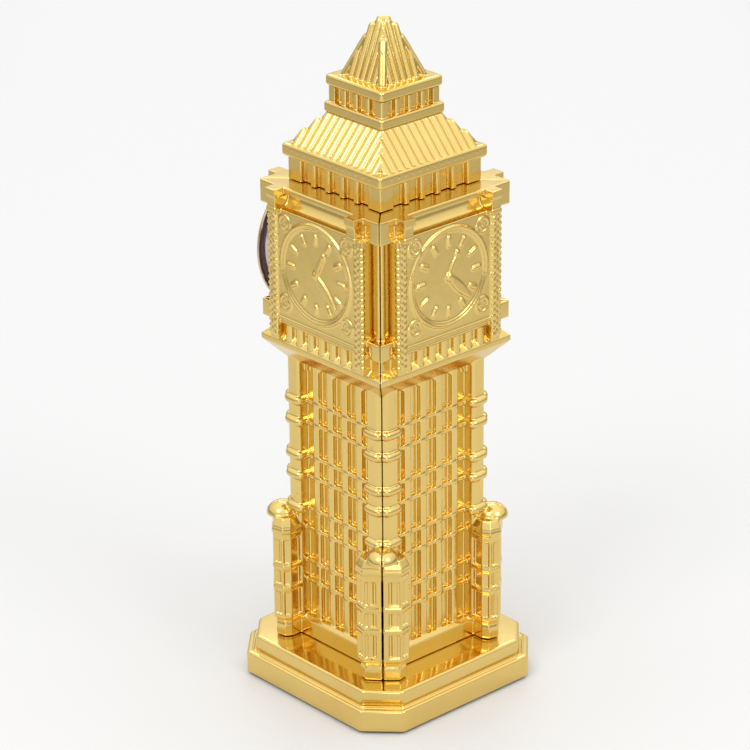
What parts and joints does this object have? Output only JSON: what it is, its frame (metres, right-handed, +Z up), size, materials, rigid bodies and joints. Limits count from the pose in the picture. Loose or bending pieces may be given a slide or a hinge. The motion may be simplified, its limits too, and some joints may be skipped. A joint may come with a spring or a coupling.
{
  "type": "souvenir clock tower",
  "caption": "Gold-plated die-cast model of a square clock tower with a ribbed spire, stepped octagonal base and a push-in quartz clock in its front wall.",
  "frame": {"origin": "centre of the underside of the base pad", "axes": "+Z up the tower; the wall with the real clock faces -Y; +X is on the viewer's right when looking at that clock"},
  "size_m": [0.0606, 0.0606, 0.1807],
  "materials": {
    "gold": "bright gold plate on zinc die casting, polished",
    "foam": "thin matt dark pad",
    "steel": "bright steel",
    "brass": "stamped brass",
    "white_plastic": "moulded white plastic",
    "black_plastic": "moulded black plastic",
    "rubber": "soft rubber",
    "lens": "clear domed lens",
    "dial": "printed white dial card",
    "hand_black": "satin black",
    "copper": "enamelled copper winding",
    "board": "green circuit board"
  },
  "bodies": {
    "tower": {"base_pad": "foam", "base_plinth": "gold", "wall_front": "gold", "wall_right": "gold", "wall_back": "gold", "wall_left": "gold", "roof": "gold", "spire_cap": "gold", "base_screw_1": "steel", "base_screw_2": "steel", "base_screw_3": "steel", "base_screw_4": "steel", "roof_screw_1": "steel", "roof_screw_2": "steel", "roof_screw_3": "steel", "roof_screw_4": "steel"},
    "insert_clock": {"clock_case": "white_plastic", "clock_bezel": "gold", "clock_lens": "lens", "clock_dial": "dial", "grip_ring": "rubber", "main_plate": "brass", "rear_bridge": "brass", "stator": "steel", "coil": "copper", "circuit_board": "board", "battery": "steel", "battery_strap": "steel"},
    "back_cover": {"case_back": "black_plastic"},
    "hour_arbor": {"hour_hand": "hand_black", "hour_wheel": "brass"},
    "minute_arbor": {"minute_hand": "hand_black", "cannon_pinion": "brass"},
    "second_arbor": {"second_hand": "hand_black", "second_wheel": "brass"},
    "minute_wheel_arbor": {"minute_wheel": "brass"},
    "intermediate_arbor": {"intermediate_wheel": "brass"},
    "rotor_arbor": {"rotor": "steel"},
    "setting_slide": {"setting_lever": "steel"},
    "crown_shaft": {"crown": "steel", "crown_stem": "steel"}
  },
  "joints": [
    {"name": "insert_pull", "type": "slide", "parent": "tower", "child": "insert_clock", "axis": [0, -1, 0], "range_m": [0, 0.03]},
    {"name": "minute_hand_turn", "type": "hinge", "parent": "insert_clock", "child": "minute_arbor", "pos_m": [0, -0.025, 0.1161], "axis": [0, 1, 0], "continuous": true},
    {"name": "hour_hand_turn", "type": "hinge", "parent": "insert_clock", "child": "hour_arbor", "pos_m": [0, -0.0248, 0.1161], "axis": [0, 1, 0], "continuous": true},
    {"name": "second_hand_turn", "type": "hinge", "parent": "insert_clock", "child": "second_arbor", "pos_m": [0, -0.0257, 0.1161], "axis": [0, 1, 0], "continuous": true},
    {"name": "minute_wheel_turn", "type": "hinge", "parent": "insert_clock", "child": "minute_wheel_arbor", "pos_m": [0, -0.0186, 0.1204], "axis": [0, 1, 0], "continuous": true},
    {"name": "intermediate_wheel_turn", "type": "hinge", "parent": "insert_clock", "child": "intermediate_arbor", "pos_m": [-0.0039, -0.0172, 0.1143], "axis": [0, 1, 0], "continuous": true},
    {"name": "rotor_turn", "type": "hinge", "parent": "insert_clock", "child": "rotor_arbor", "pos_m": [-0.0062, -0.0185, 0.112], "axis": [0, 1, 0], "continuous": true},
    {"name": "crown_pull", "type": "slide", "parent": "insert_clock", "child": "setting_slide", "axis": [1, 0, 0], "range_m": [0, 0.0006]},
    {"name": "crown_turn", "type": "hinge", "parent": "setting_slide", "child": "crown_shaft", "pos_m": [0.0146, -0.0126, 0.1161], "axis": [1, 0, 0], "continuous": true},
    {"name": "back_cover_pull", "type": "slide", "parent": "insert_clock", "child": "back_cover", "axis": [0, 1, 0], "range_m": [0, 0.006]}
  ],
  "couplings": [
    {"joint": "hour_hand_turn", "follows": "minute_hand_turn", "ratio": 0.083333},
    {"joint": "minute_wheel_turn", "follows": "minute_hand_turn", "ratio": -0.33333},
    {"joint": "intermediate_wheel_turn", "follows": "second_hand_turn", "ratio": -3.75},
    {"joint": "rotor_turn", "follows": "second_hand_turn", "ratio": 15}
  ]
}
